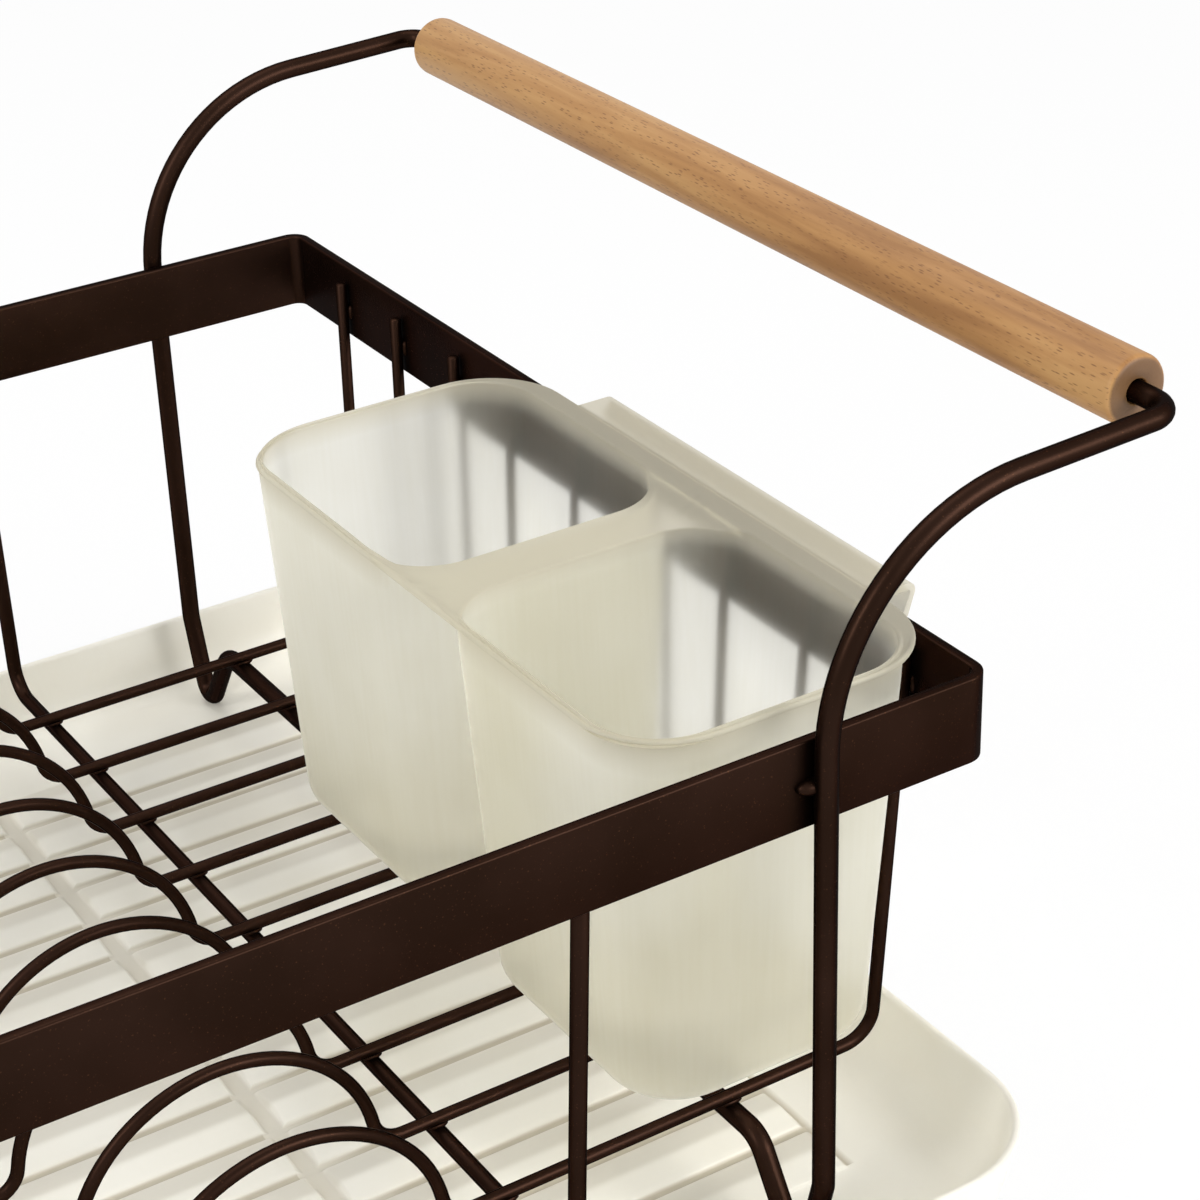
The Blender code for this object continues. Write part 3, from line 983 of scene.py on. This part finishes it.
holderShape = {
    "lipThickness": 0.0014,
    "lipHighX": 0.2052,
    "lipCornerRadius": 0.0220,
    "lipEdge": 0.0006,
    "mouthEdge": 0.0005,
    "left": 0.0024,
    "right": 0.0059,
    "end": 0.0024,
    "halfWeb": 0.0073,
    "cornerRadius": 0.0166,
    "wall": 0.0014,
    "floor": 0.0018,
    "cupDepth": 0.0965,
    "leftTaper": 0.0045,
    "rightTaper": 0.0062,
    "endTaper": 0.0040,
    "bottomRadius": 0.0090,
    "webDrop": 0.0018,
    "webStep": 0.0034,
    "webLead": 0.2,    # the share of the step that lies past the cups' sides
    "channelDepth": 0.0006,
    "channelEdge": 0.25,
    "webFade": 0.0060,
    "webThickness": 0.0016,
    "hookLength": 0.1230,
    "hookReach": 0.0098,
    "hookDrop": 0.0090,
    "hookLean": 0.0036,
    "hookWall": 0.0018,
    "hookRound": 0.0012,
    "hookTipShare": 0.35,
    "hookStepAngle": 18,
    "hookEndRound": 0.0035,
    "hookEndFall": 0.98,    # how much of the end's rounding the flap follows
    "hookEndShrink": 0.0004,
    "hookEndShares": (0, 0.03, 0.1, 0.25, 0.45, 0.7, 1),
    "drainDiameter": 0.0060,
    "drainSpacing": 0.0260,
    "drainSides": 32,
    "arcSteps": 7,    # along half of a rounded corner
    "sideSteps": 8,
    "edgeSteps": 4,
    "lipSteps": 12,
    "floorSteps": 8,
    "bottomSteps": 10,
    "innerShares": (0.05, 0.3, 0.6),    # heights of the rings on a cup's walls
    "outerShares": (0.08, 0.3, 0.6),
    "sharpAngle": 35,
}


def cupRing(offset, z):
    # The near cup's ring: its inside at the lip, grown by offset and tapered for z
    shape = holderShape
    share = max(0.0, (rimTop - z) / shape["cupDepth"])
    lowX = holderLow.x + shape["left"] - offset + shape["leftTaper"] * share
    highX = shape["lipHighX"] - shape["right"] + offset - shape["rightTaper"] * share
    lowY = holderLow.y + shape["end"] - offset + shape["endTaper"] * share
    highY = holderMiddle - shape["halfWeb"] + offset - shape["endTaper"] * share
    radius = shape["cornerRadius"] + offset
    turn = webCornerAngle()
    corners = (
        (highX - radius, highY - radius, splitAngles(0, turn, math.pi / 2)),
        (lowX + radius, highY - radius, splitAngles(math.pi / 2, math.pi - turn, math.pi)),
        (lowX + radius, lowY + radius, splitAngles(math.pi, math.pi * 1.25, math.pi * 1.5)),
        (highX - radius, lowY + radius, splitAngles(math.pi * 1.5, math.pi * 1.75, math.pi * 2)),
    )
    return joinedArcs([levelArc(x, y, z, radius, angles) for x, y, angles in corners])


def joinedArcs(arcs):
    # One ring of points: the four corner arcs and the straight sides between them
    ring = []
    steps = holderShape["sideSteps"]
    for arc, ahead in zip(arcs, arcs[1:] + arcs[:1]):
        ring += arc + [arc[-1].lerp(ahead[0], k / steps) for k in range(1, steps)]
    return ring


def splitAngles(start, middle, end):
    # A corner's angles, with the same number of steps on both sides of its middle
    steps = holderShape["arcSteps"]
    first = [start + angle for angle in turnSteps(middle - start, steps)]
    return first[:-1] + [middle + angle for angle in turnSteps(end - middle, steps)]


def webCornerAngle():
    # The direction from a web corner's centre to the lip's outline on the line between the cups
    shape = holderShape
    radius = shape["cornerRadius"]
    return math.atan2(shape["halfWeb"] + radius, shape["right"] + radius)


def castToCell(centre, angle, lowX, highX):
    # Where a ray from a corner's centre meets the lip's side or the line between the cups
    nearZero = 0.000001
    across = (highX if math.cos(angle) > 0 else lowX) - centre.x
    up = holderMiddle - centre.y
    reachX = across / math.cos(angle) if abs(math.cos(angle)) > nearZero else math.inf
    reachY = up / math.sin(angle) if abs(math.sin(angle)) > nearZero else math.inf
    if reachX < reachY:
        return Vector((centre.x + across, centre.y + reachX * math.sin(angle), centre.z))
    return Vector((centre.x + reachY * math.cos(angle), holderMiddle, centre.z))


def cellRing(inset, z):
    # The lip's outline around the near cup, closed along the line between the cups
    shape = holderShape
    lowX, highX = holderLow.x + inset, shape["lipHighX"] - inset
    lowY = holderLow.y + inset
    radius = shape["lipCornerRadius"] - inset
    web = shape["cornerRadius"]
    turn = webCornerAngle()
    webY = holderMiddle - shape["halfWeb"] - web
    rightCentre = Vector((shape["lipHighX"] - shape["right"] - web, webY, z))
    leftCentre = Vector((holderLow.x + shape["left"] + web, webY, z))
    rightAngles = splitAngles(0, turn, math.pi / 2)
    leftAngles = splitAngles(math.pi / 2, math.pi - turn, math.pi)
    rightArc = [castToCell(rightCentre, a, lowX, highX) for a in rightAngles]
    leftArc = [castToCell(leftCentre, a, lowX, highX) for a in leftAngles]
    rightArc[shape["arcSteps"]] = Vector((highX, holderMiddle, z))
    leftArc[shape["arcSteps"]] = Vector((lowX, holderMiddle, z))
    arcs = [rightArc, leftArc]
    for x, y, start in (
        (lowX + radius, lowY + radius, math.pi),
        (highX - radius, lowY + radius, math.pi * 1.5),
    ):
        angles = splitAngles(start, start + math.pi / 4, start + math.pi / 2)
        arcs.append(levelArc(x, y, z, radius, angles))
    return joinedArcs(arcs)


def webShare(point):
    # One over the web between the cups, none over the lip around it
    shape = holderShape
    fromLeft = point.x - (holderLow.x + shape["left"])
    fromRight = shape["lipHighX"] - shape["right"] - point.x
    inX = smoothStep((min(fromLeft, fromRight) + shape["webStep"] * shape["webLead"]) / shape["webStep"])
    reach = shape["halfWeb"] + shape["cornerRadius"]
    inY = smoothStep((reach + shape["webFade"] - abs(point.y - holderMiddle)) / shape["webFade"])
    return inX * inY


def overZ(point, across=0.0):
    # The top's height: the web lies lower than the lip, and a shallow channel runs along the lip between
    # its raised edges, but not beside the hook. Across is 0 at a cup's mouth and 1 at the lip's outline.
    shape = holderShape
    web = webShare(point)
    fromHook = shape["lipHighX"] - shape["right"] - point.x
    clear = smoothStep(fromHook / shape["webStep"]) * (1 - web)
    edge = shape["channelEdge"]
    flat = edge / 3
    between = smoothStep((across - flat) / edge) * smoothStep((1 - flat - across) / edge)
    return holderHigh.z - shape["webDrop"] * web - shape["channelDepth"] * between * clear


def underZ(point):
    # The lip's and the web's underside
    shape = holderShape
    lip = holderHigh.z - shape["lipThickness"]
    web = holderHigh.z - shape["webDrop"] - shape["webThickness"]
    return lip + (web - lip) * webShare(point)


def holderHalf():
    # The near cup with its half of the lip and web
    shape = holderShape
    top = holderHigh.z
    under = top - shape["lipThickness"]
    cupBottom = rimTop - shape["cupDepth"]
    edge = shape["mouthEdge"]
    points = []
    faces = []

    def addRings(rings, cap=False):
        # Adds a skin through these rings, with a face over the last one where there is a cap
        first = len(points)
        for ring in rings:
            points.extend(ring)
        faces.extend(ringFaces(len(rings), len(rings[0]), first=first))
        if cap:
            faces.append(tuple(range(len(points) - len(rings[0]), len(points))))

    inside = []
    for angle in turnSteps(math.pi / 2, shape["edgeSteps"]):
        ring = cupRing(edge * (1 - math.sin(angle)), top)
        for point in ring:
            point.z = overZ(point) - edge * (1 - math.cos(angle))
        inside.append(ring)
    for share in shape["innerShares"]:
        inside.append(cupRing(0, under + (cupBottom - under) * share))
    innerRadius = shape["bottomRadius"] - shape["wall"]
    innerBottom = cupBottom + shape["floor"]
    for angle in turnSteps(math.pi / 2, shape["floorSteps"]):
        z = innerBottom + innerRadius * (1 - math.sin(angle))
        inside.append(cupRing(-innerRadius * (1 - math.cos(angle)), z))
    addRings(inside, cap=True)

    def addStrip(start, end, heightAt):
        # Adds a skin between two rings, at the height that belongs to a point and its share of the way
        strip = [start]
        for share in turnSteps(1, shape["lipSteps"])[1:]:
            ring = [a.lerp(b, share) for a, b in zip(start, end)]
            for point in ring:
                point.z = heightAt(point, share)
            strip.append(ring)
        addRings(strip)

    outer = cellRing(shape["lipEdge"], top)
    addStrip(inside[0], outer, overZ)

    # The lip's rounded edge runs from the web's left end around the cup to its right end
    rightEnd = shape["arcSteps"]
    leftEnd = rightEnd + 2 * shape["arcSteps"] + shape["sideSteps"]
    path = list(range(leftEnd, len(outer))) + list(range(rightEnd + 1))
    rings = []
    half = shape["lipThickness"] / 2
    for angle in turnSteps(math.pi, 2 * shape["edgeSteps"]):
        ring = cellRing(shape["lipEdge"] * (1 - math.sin(angle)), top - half + half * math.cos(angle))
        rings.append([ring[i] for i in path])
    for k in range(len(rings) - 1):
        lower = len(points) + k * len(path)
        upper = lower + len(path)
        faces += [(lower + i, lower + i + 1, upper + i + 1, upper + i) for i in range(len(path) - 1)]
    for ring in rings:
        points.extend(ring)

    outside = []
    for angle in turnSteps(math.pi / 2, shape["edgeSteps"]):
        ring = cupRing(shape["wall"] + edge * (1 - math.sin(angle)), under)
        for point in ring:
            point.z = underZ(point) - edge * (1 - math.cos(angle))
        outside.append(ring)
    outerUnder = cellRing(shape["lipEdge"], under)
    for point in outerUnder:
        point.z = underZ(point)
    addStrip(outerUnder, outside[0], lambda point, _: underZ(point))
    for share in shape["outerShares"]:
        outside.append(cupRing(shape["wall"], under + (cupBottom - under) * share))
    for angle in turnSteps(math.pi / 2, shape["bottomSteps"]):
        z = cupBottom + shape["bottomRadius"] * (1 - math.sin(angle))
        outside.append(cupRing(shape["wall"] - shape["bottomRadius"] * (1 - math.cos(angle)), z))
    addRings(outside, cap=True)
    return points, faces


def hookRing(y, drop, shrink):
    # The hook's outline in the XZ plane at y: a plate over the rim and a flap of this drop down its outside
    shape = holderShape
    wall = shape["hookWall"]
    right = rimHigh.x + shape["hookReach"] - shrink
    under = rimTop + clearance + shrink
    top = rimTop + clearance + wall - shrink
    thick = wall - 2 * shrink
    start = shape["lipHighX"] - shape["right"] + shape["wall"] / 2
    lean = shape["hookLean"] * (top - rimTop + drop) / (wall + clearance + shape["hookDrop"])
    low = rimTop - drop
    tip = thick * shape["hookTipShare"]
    outline = [
        (Vector((start, y, top)), 0),
        (Vector((right, y, top)), shape["hookRound"] + wall / 2),
        (Vector((right - lean, y, low)), tip),
        (Vector((right - lean - thick, y, low)), tip),
        (Vector((right - thick, y, under)), shape["hookRound"] / 2),
        (Vector((start, y, under)), 0),
    ]
    return bentPath(outline, shape["hookStepAngle"])


def hookMesh(name):
    # Rounded at both ends, where the flap gets shorter
    shape = holderShape
    half = shape["hookLength"] / 2
    endRound = shape["hookEndRound"]
    stations = []
    for share in shape["hookEndShares"]:
        short = endRound * (1 - math.sqrt(1 - (1 - share) ** 2)) * shape["hookEndFall"]
        shrink = 0 if share else shape["hookEndShrink"]
        stations.append((half - share * endRound, shape["hookDrop"] - short, shrink))
    rings = [hookRing(holderMiddle - reach, drop, shrink) for reach, drop, shrink in stations]
    rings += [hookRing(holderMiddle + reach, drop, shrink) for reach, drop, shrink in reversed(stations)]
    points = [point for ring in rings for point in ring]
    return closedMesh(name, points, cappedFaces(len(rings), len(rings[0])))


def drainMesh(name):
    # Plugs for the four drain holes in each cup's floor
    shape = holderShape
    radius = shape["drainDiameter"] / 2
    centreX = (
        holderLow.x + shape["left"] + shape["leftTaper"]
        + shape["lipHighX"] - shape["right"] - shape["rightTaper"]
    ) / 2
    lowY = holderLow.y + shape["end"]
    highY = holderMiddle - shape["halfWeb"]
    work = bmesh.new()
    for side, row, column in product((1, -1), (-1, 1), (-1, 1)):
        cupY = holderMiddle + side * ((lowY + highY) / 2 - holderMiddle)
        place = Vector((
            centreX + column * shape["drainSpacing"] / 2,
            cupY + row * shape["drainSpacing"] / 2,
            rimTop - shape["cupDepth"],
        ))
        bmesh.ops.create_cone(
            work,
            cap_ends=True,
            segments=shape["drainSides"],
            radius1=radius,
            radius2=radius,
            depth=3 * shape["floor"],
            matrix=Matrix.Translation(place),
        )
    mesh = bpy.data.meshes.new(name)
    work.to_mesh(mesh)
    work.free()
    return mesh


def lipShare(point):
    # One on the lip, the web and the hook, none on the cups' walls
    outside = point.x > holderShape["lipHighX"] - holderShape["lipEdge"]
    return 1.0 if outside else smoothStep((point.z - rimTop) / holderShape["lipThickness"])


def buildHolder():
    points, faces = holderHalf()
    count = len(points)
    points += [Vector((p.x, 2 * holderMiddle - p.y, p.z)) for p in points]
    faces += [tuple(count + k for k in face) for face in faces]
    holder = addPiece(
        "CutleryHolder", points, faces, holderPlastic, "holder", "cutlery_holder"
    )
    helpers = []
    for mesh, operation in ((hookMesh("Hook"), "UNION"), (drainMesh("Drains"), "DIFFERENCE")):
        helper = addObject(mesh.name, mesh)
        helpers.append(helper)
        modifier = holder.modifiers.new(mesh.name, "BOOLEAN")
        modifier.object = helper
        modifier.operation = operation
        modifier.solver = "EXACT"
    bpy.context.view_layer.update()
    evaluated = holder.evaluated_get(bpy.context.evaluated_depsgraph_get())
    mesh = bpy.data.meshes.new_from_object(evaluated)
    holder.modifiers.clear()
    holder.data = mesh
    for helper in helpers:
        bpy.data.objects.remove(helper, do_unlink=True)
    mesh.shade_smooth()
    mesh.set_sharp_from_angle(angle=math.radians(holderShape["sharpAngle"]))
    markTintShade(holder, lipShare)


buildHolder()
print("holder built")


# Floor, light and camera

studioLook = {
    "floor": "#ffffff",
    "background": "#ffffff",
    "ambient": 0.475,
    "floorGlow": 0.90,
    "floorReach": 6.0,
    "lamps": {
        "KeyLight": {"place": (0.75, -1.40, 0.80), "width": 0.90, "height": 0.60, "power": 16.0},
        "SideLight": {"place": (-1.20, -0.15, 0.95), "width": 0.35, "height": 0.80, "power": 8.5},
        "TopLight": {"place": (0.10, 0.50, 1.40), "width": 1.00, "height": 0.80, "power": 5.0},
    },
    "target": (0.05, 0.0, 0.10),
}


def seesBackground(tree):
    # One for the rays that show the plain white background: the camera's, reflected ones and those that
    # went through plastic
    ray = addNode(tree, "ShaderNodeLightPath").outputs
    through = calculate(tree, "MAXIMUM", ray["Is Camera Ray"], ray["Is Transmission Ray"])
    return calculate(tree, "MAXIMUM", through, ray["Is Glossy Ray"])


def addLamp(name, lamp):
    data = bpy.data.lights.new(name, "AREA")
    data.shape = "RECTANGLE"
    data.size = lamp["width"]
    data.size_y = lamp["height"]
    data.energy = lamp["power"]
    light = addObject(name, data)
    light.location = lamp["place"]
    aim = Vector(studioLook["target"]) - Vector(lamp["place"])
    light.rotation_euler = aim.to_track_quat("-Z", "Y").to_euler()


def buildFloor():
    look = studioLook
    material, tree = newMaterial("WhitePaperSweep")
    diffuse = addShader(tree, "ShaderNodeBsdfDiffuse", {"Color": linear(look["floor"])})
    glow = addShader(tree, "ShaderNodeEmission", {"Color": linear(look["background"]), "Strength": 1.0})
    amount = calculate(tree, "MULTIPLY", seesBackground(tree), look["floorGlow"])
    addNode(tree, "ShaderNodeOutputMaterial", {"Surface": mixShaders(tree, amount, diffuse, glow)})
    mesh = bpy.data.meshes.new("Floor")
    reach, z = look["floorReach"], -clearance
    corners = [(-reach, -reach, z), (reach, -reach, z), (reach, reach, z), (-reach, reach, z)]
    mesh.from_pydata(corners, [], [(0, 1, 2, 3)])
    mesh.materials.append(material)
    addObject("Floor", mesh)


def buildWorld():
    world = bpy.data.worlds.new("WhiteStudio")
    bpy.context.scene.world = world
    world.use_nodes = True
    tree = world.node_tree
    tree.nodes.clear()
    white = linear(studioLook["background"])
    ambient = addShader(tree, "ShaderNodeBackground", {"Color": white, "Strength": studioLook["ambient"]})
    plain = addShader(tree, "ShaderNodeBackground", {"Color": white, "Strength": 1.0})
    mix = mixShaders(tree, seesBackground(tree), ambient, plain)
    addNode(tree, "ShaderNodeOutputWorld", {"Surface": mix})


# The photograph's view, found from the rim's corners and the wires: place in X and Y, height over the rim,
# and the directions of the picture's right, its top and the way back to the viewer
cameraPlace = {
    "place": (-0.14257, -0.56770),
    "overRim": 0.31007,
    "right": (0.84133, -0.53969, -0.02993),
    "up": (0.28021, 0.38813, 0.87797),
    "back": (-0.46222, -0.74705, 0.47777),
    "lens": 87.73,
    "sensorWidth": 36,
}


def buildCamera():
    data = bpy.data.cameras.new("Camera")
    data.sensor_width = cameraPlace["sensorWidth"]
    data.lens = cameraPlace["lens"]
    camera = addObject("Camera", data)
    columns = [Vector(cameraPlace[name]).normalized() for name in ("right", "up", "back")]
    turn = Matrix(columns).transposed().to_4x4()
    place = Vector((*cameraPlace["place"], rimTop + cameraPlace["overRim"]))
    camera.matrix_world = Matrix.Translation(place) @ turn
    bpy.context.scene.camera = camera


buildFloor()
buildWorld()
for lampName, lampValues in studioLook["lamps"].items():
    addLamp(lampName, lampValues)
buildCamera()
bpy.context.scene.view_settings.view_transform = "Standard"
print("studio built")
